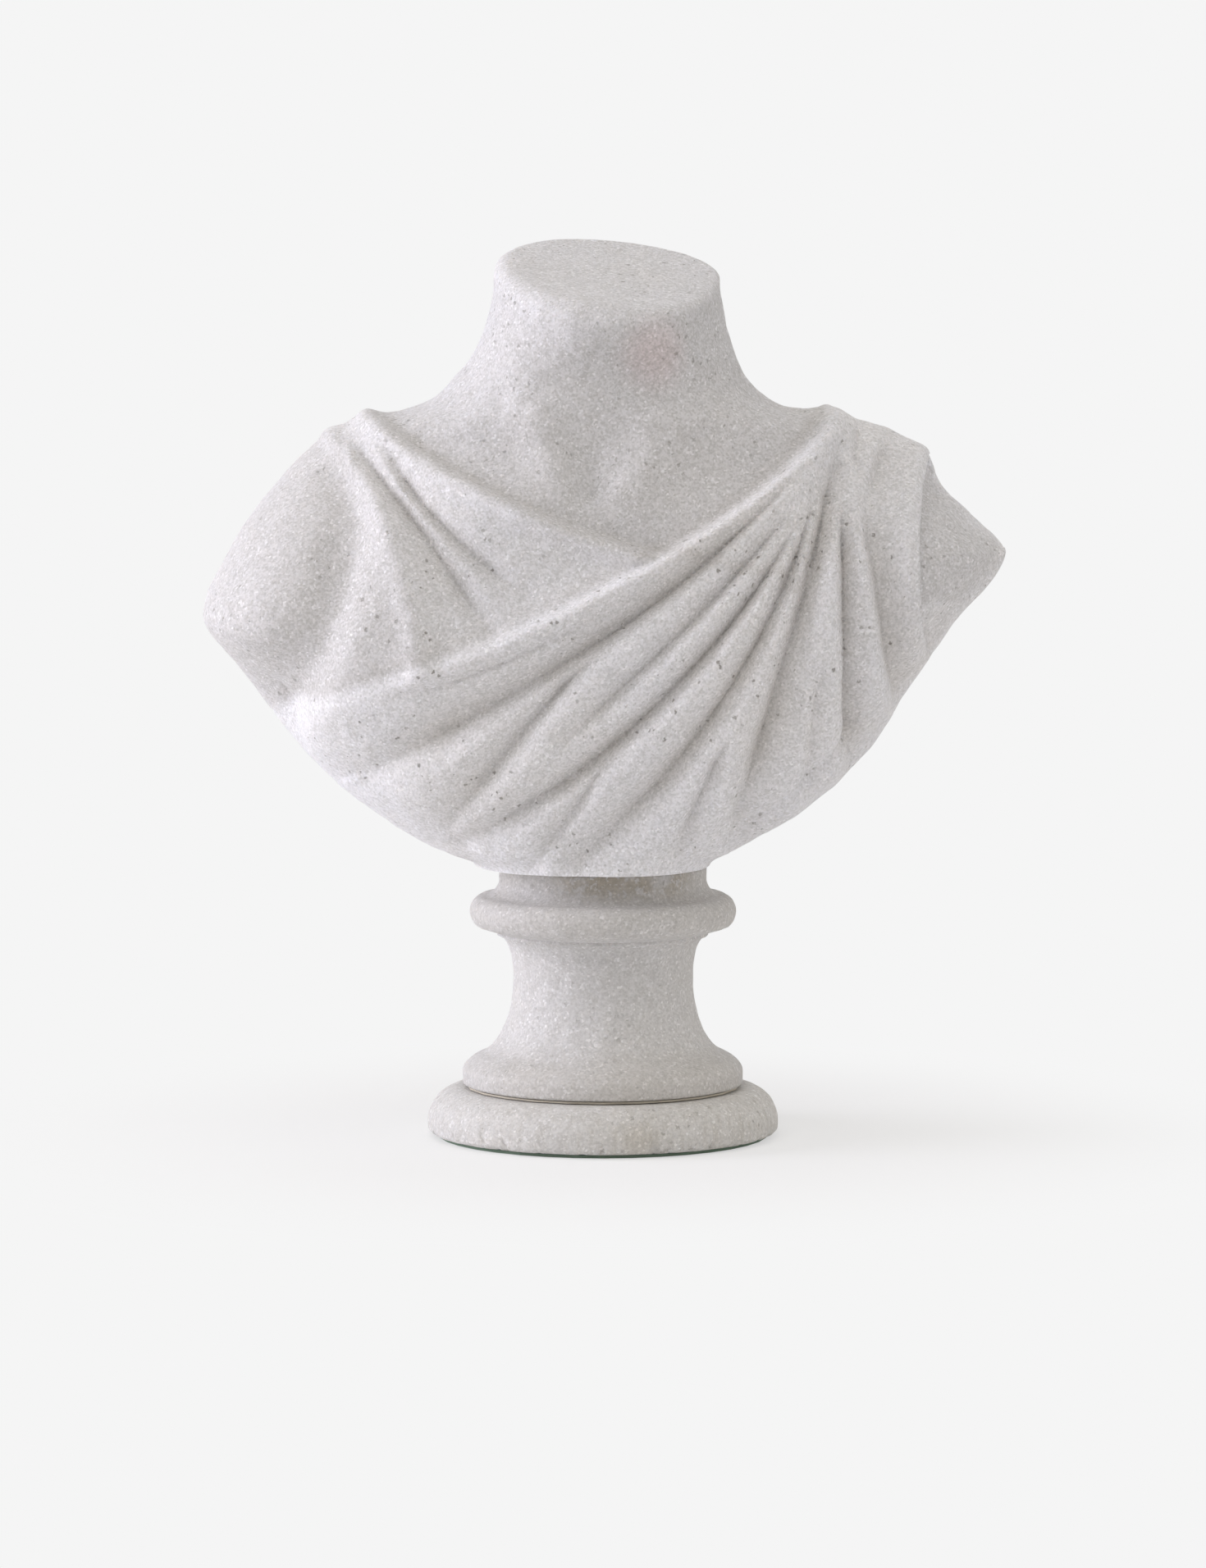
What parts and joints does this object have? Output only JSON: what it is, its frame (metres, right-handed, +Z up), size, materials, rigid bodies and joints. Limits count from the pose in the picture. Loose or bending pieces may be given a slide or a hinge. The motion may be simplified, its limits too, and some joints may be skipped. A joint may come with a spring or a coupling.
{
  "type": "marble bust",
  "caption": "Headless draped bust in white marble, cut off slantwise at the neck, pinned to a turned round socle on a disc plinth.",
  "frame": {"origin": "centre of the felt disc's underside, where the bust stands", "axes": "+Z up along the socle's axis, front of the bust to -Y, viewer's right to +X"},
  "size_m": [0.2724, 0.1342, 0.3052],
  "materials": {
    "bust_marble": "matt, sugar-grained",
    "socle_marble": "matt, sugar-grained",
    "plinth_marble": "matt, sugar-grained",
    "bedding_resin": "cured polyester resin",
    "zinc_steel": "zinc plated",
    "felt": "pressed felt"
  },
  "bodies": {
    "root": {"bust": "bust_marble", "socle": "socle_marble", "plinth": "plinth_marble", "bust_bedding": "bedding_resin", "plinth_bedding": "bedding_resin", "rod_resin": "bedding_resin", "tie_rod": "zinc_steel", "rod_nut": "zinc_steel", "rod_washer": "zinc_steel", "felt_disc": "felt"}
  },
  "joints": []
}
